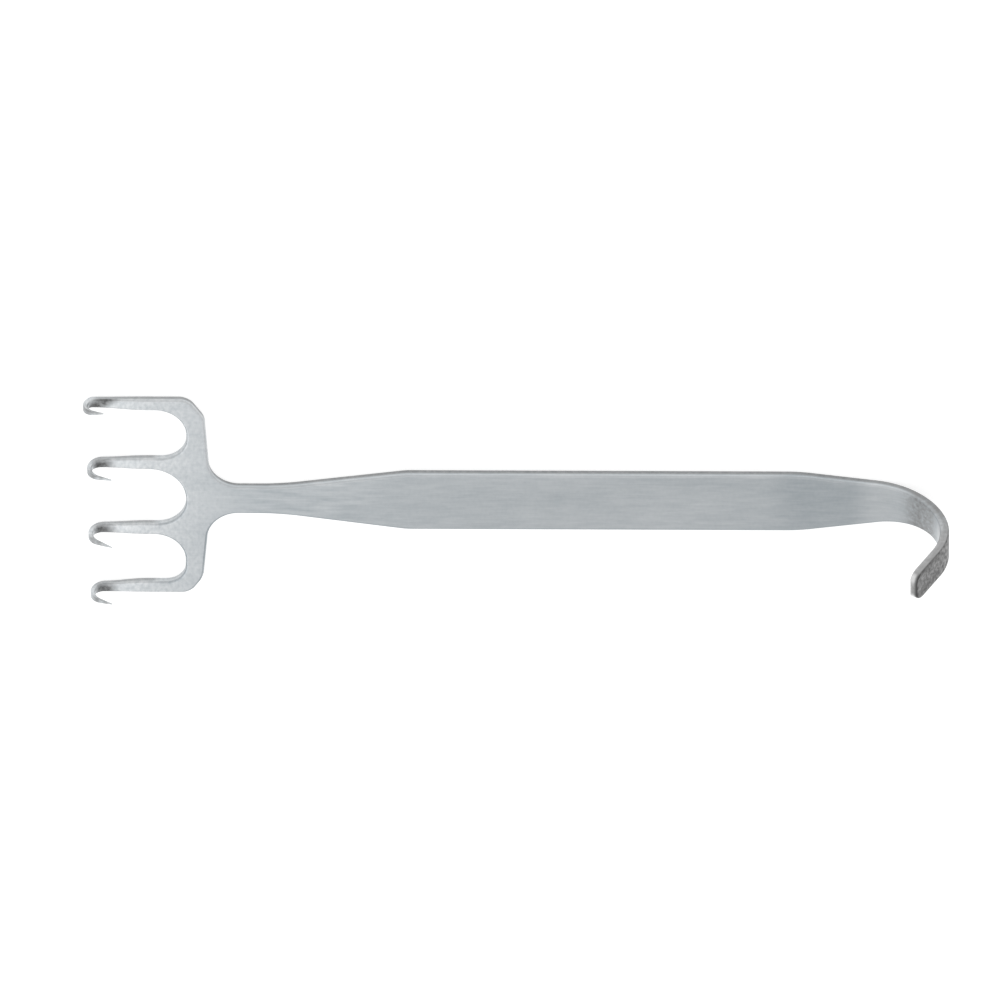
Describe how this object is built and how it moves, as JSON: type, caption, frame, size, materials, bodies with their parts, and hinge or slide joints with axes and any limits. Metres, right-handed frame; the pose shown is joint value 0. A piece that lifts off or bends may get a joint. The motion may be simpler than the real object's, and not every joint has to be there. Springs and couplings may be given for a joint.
{
  "type": "surgical rake retractor with finger hook",
  "caption": "Flat satin steel hand-held retractor: a rake of sharp curled prongs at one end, a flat handle, and a finger hook bent from the other end.",
  "frame": {"origin": "on the flat back, on the middle of the handle's width, halfway along the instrument's whole length", "axes": "+X from the rake to the finger hook; +Z out of the front face, the way the prongs and the finger hook bend; the back lies in z = 0"},
  "size_m": [0.16, 0.0449, 0.0279],
  "materials": {
    "satin_steel": "satin, fine lengthwise grain"
  },
  "bodies": {
    "root": {"rake_crossbar": "satin_steel", "neck": "satin_steel", "handle": "satin_steel", "finger_hook": "satin_steel", "prong_1": "satin_steel", "prong_2": "satin_steel", "prong_3": "satin_steel", "prong_4": "satin_steel"}
  },
  "joints": []
}
